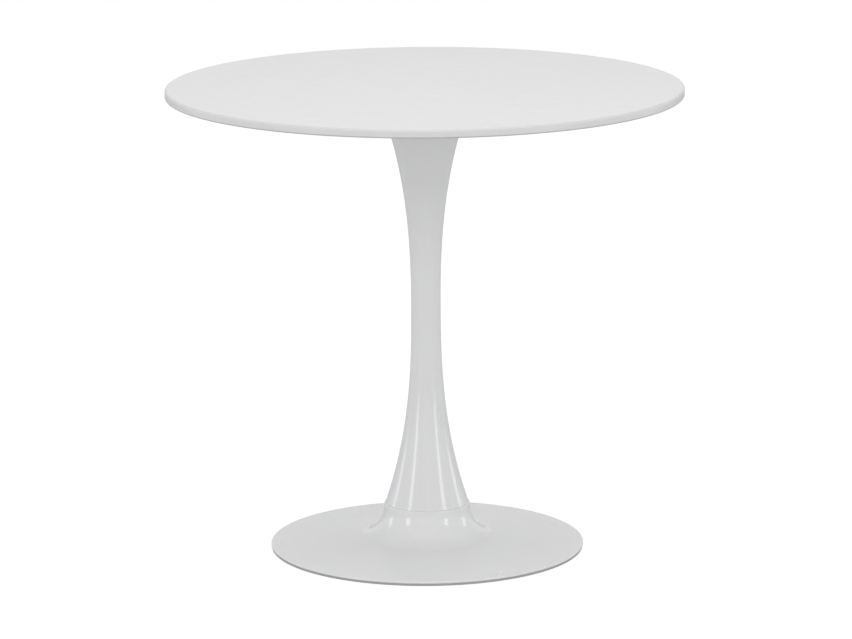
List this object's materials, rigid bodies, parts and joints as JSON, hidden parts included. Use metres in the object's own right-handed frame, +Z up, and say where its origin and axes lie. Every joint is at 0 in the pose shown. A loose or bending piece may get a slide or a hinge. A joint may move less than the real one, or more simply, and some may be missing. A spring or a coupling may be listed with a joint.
{
  "type": "round pedestal table",
  "caption": "Round white table with a thin rounded board on a slender column, flared at both ends, and a wide spun disc foot, clamped together by a hidden threaded rod.",
  "frame": {"origin": "on the floor, under the middle of the column, where the bottom of the floor ring rests", "axes": "+Z up along the column's axis; the table is round, so X and Y are any two level directions"},
  "size_m": [0.7999, 0.8, 0.73],
  "materials": {
    "board_lacquer": "matte",
    "column_paint": "gloss",
    "foot_paint": "gloss",
    "foot_inner_paint": "satin",
    "plate_paint": "satin",
    "zinc_fixings": "satin",
    "floor_rubber": "matte"
  },
  "bodies": {
    "root": {"table_top": "board_lacquer", "threaded_inserts": "zinc_fixings", "mounting_plate": "plate_paint", "plate_screws": "zinc_fixings", "plate_washers": "zinc_fixings", "rod_boss": "plate_paint", "top_locating_ring": "plate_paint", "column": "column_paint", "tie_rod": "zinc_fixings", "base_shell": "foot_paint", "base_locating_ring": "foot_paint", "hub_plate": "foot_inner_paint", "rib_1": "foot_inner_paint", "rib_2": "foot_inner_paint", "rib_3": "foot_inner_paint", "rib_4": "foot_inner_paint", "rib_5": "foot_inner_paint", "rib_6": "foot_inner_paint", "clamp_washer": "zinc_fixings", "lock_washer": "zinc_fixings", "rod_nut": "zinc_fixings", "floor_ring": "floor_rubber"}
  },
  "joints": []
}
